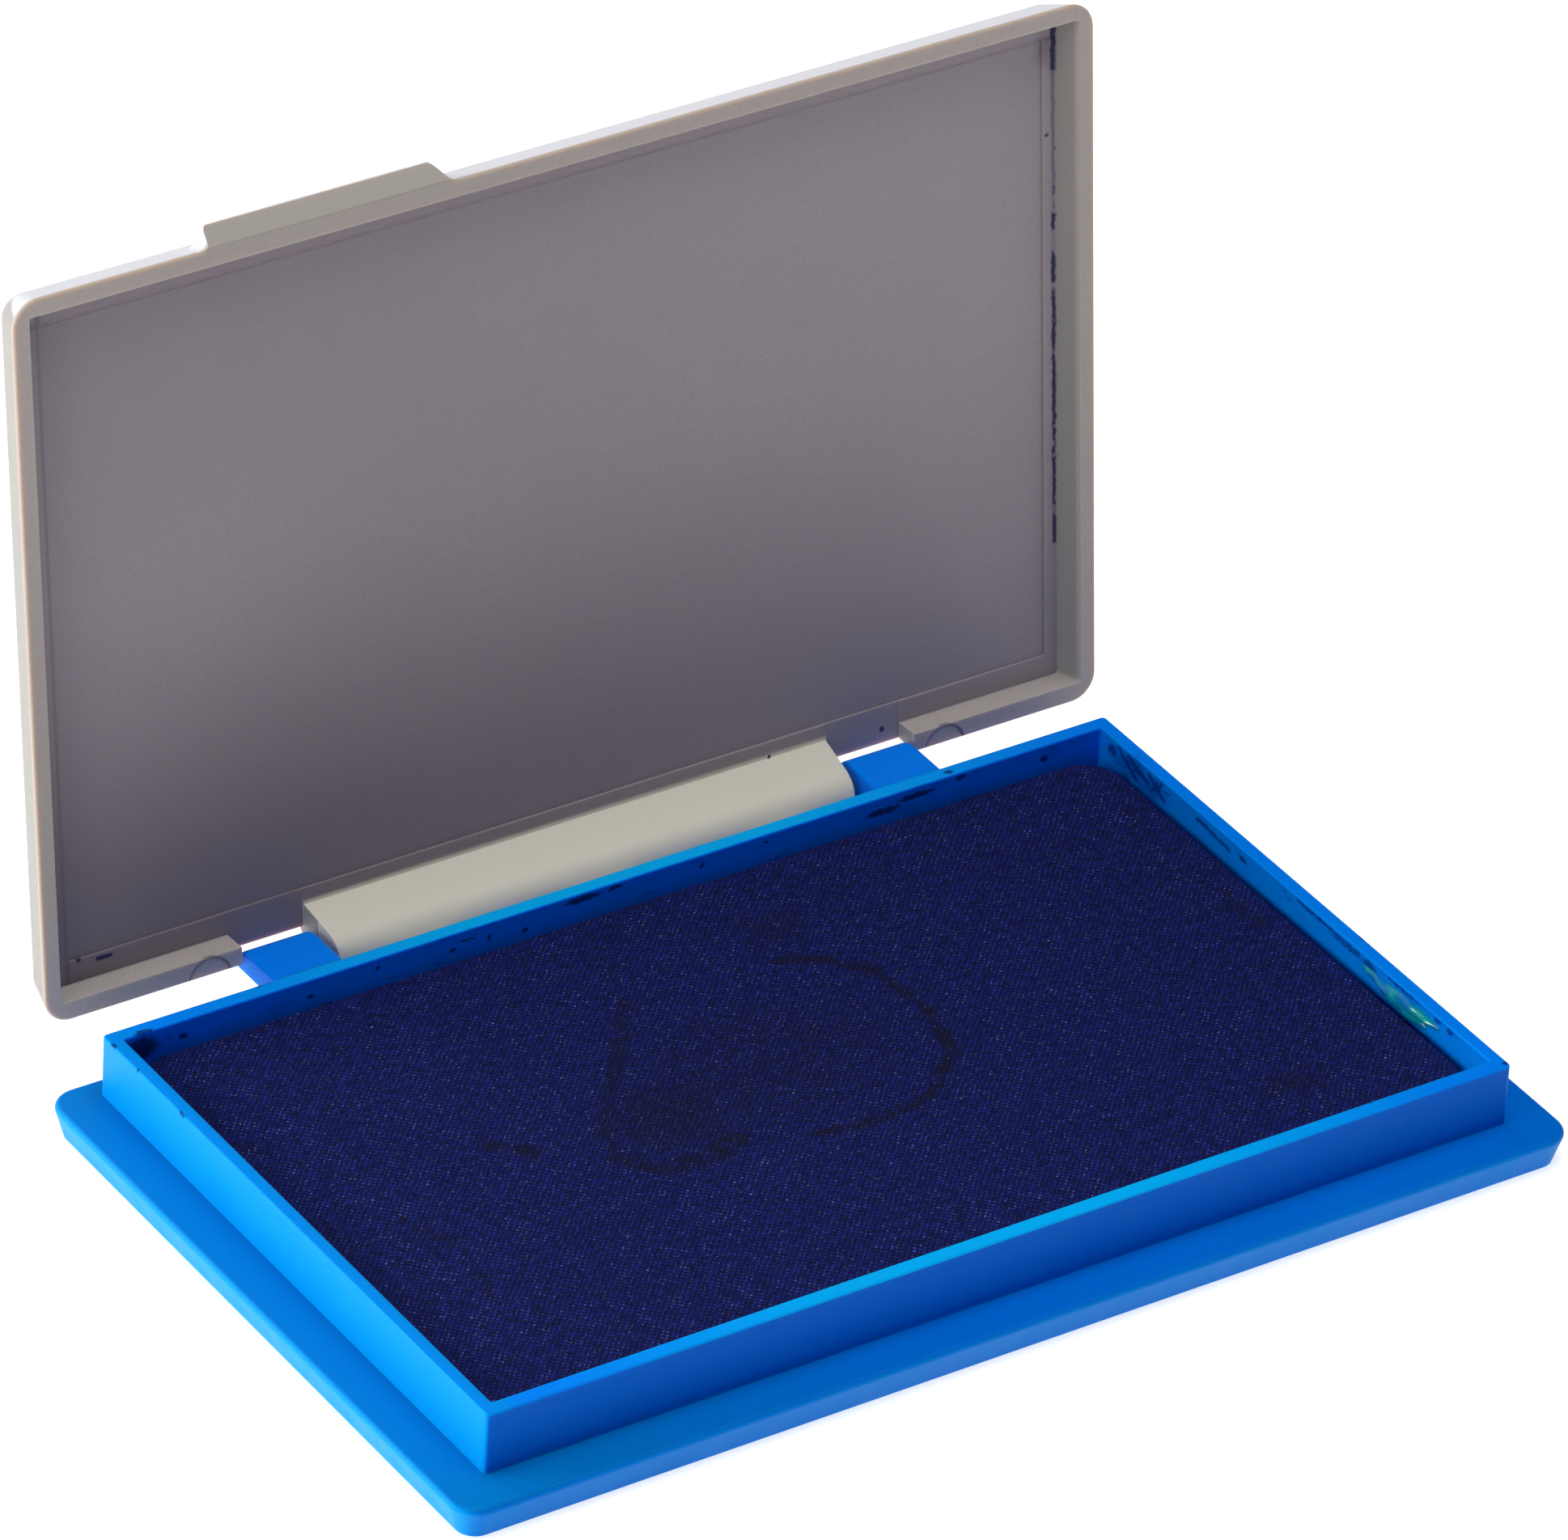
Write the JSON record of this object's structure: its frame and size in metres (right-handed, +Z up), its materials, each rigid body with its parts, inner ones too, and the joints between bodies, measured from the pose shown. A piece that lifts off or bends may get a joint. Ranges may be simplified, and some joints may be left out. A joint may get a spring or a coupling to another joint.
{
  "type": "ink pad",
  "caption": "Hinged ink pad: a shallow blue flanged tray holding a cloth-covered pad, with a grey plastic lid that turns on moulded hinge lugs, shown open.",
  "frame": {"origin": "on the flat underside of the tray, below the centre of its rim", "axes": "+X along the length, +Y towards the hinge, +Z up out of the pad"},
  "size_m": [0.1096, 0.0816, 0.0745],
  "materials": {
    "tray_plastic": "satin moulded polypropylene, bright blue",
    "lid_plastic": "fine matt moulded polypropylene, warm grey",
    "board": "dense grey board, ink-stained",
    "felt": "wool felt soaked with blue ink",
    "foam": "soft open-cell foam soaked with blue ink",
    "inked_cloth": "plain woven cotton soaked with blue ink",
    "glue": "glossy set adhesive, stained turquoise"
  },
  "bodies": {
    "tray": {"base_tray": "tray_plastic", "backing_board": "board", "reservoir_felt": "felt", "cushion_foam": "foam", "fabric_cover": "inked_cloth", "glue_bead": "glue"},
    "lid": {"lid": "lid_plastic"}
  },
  "joints": [
    {"name": "lid_hinge", "type": "hinge", "parent": "tray", "child": "lid", "pos_m": [0, 0.0346, 0.0066], "axis": [1, 0, 0], "range_deg": [0, 97.25]}
  ]
}
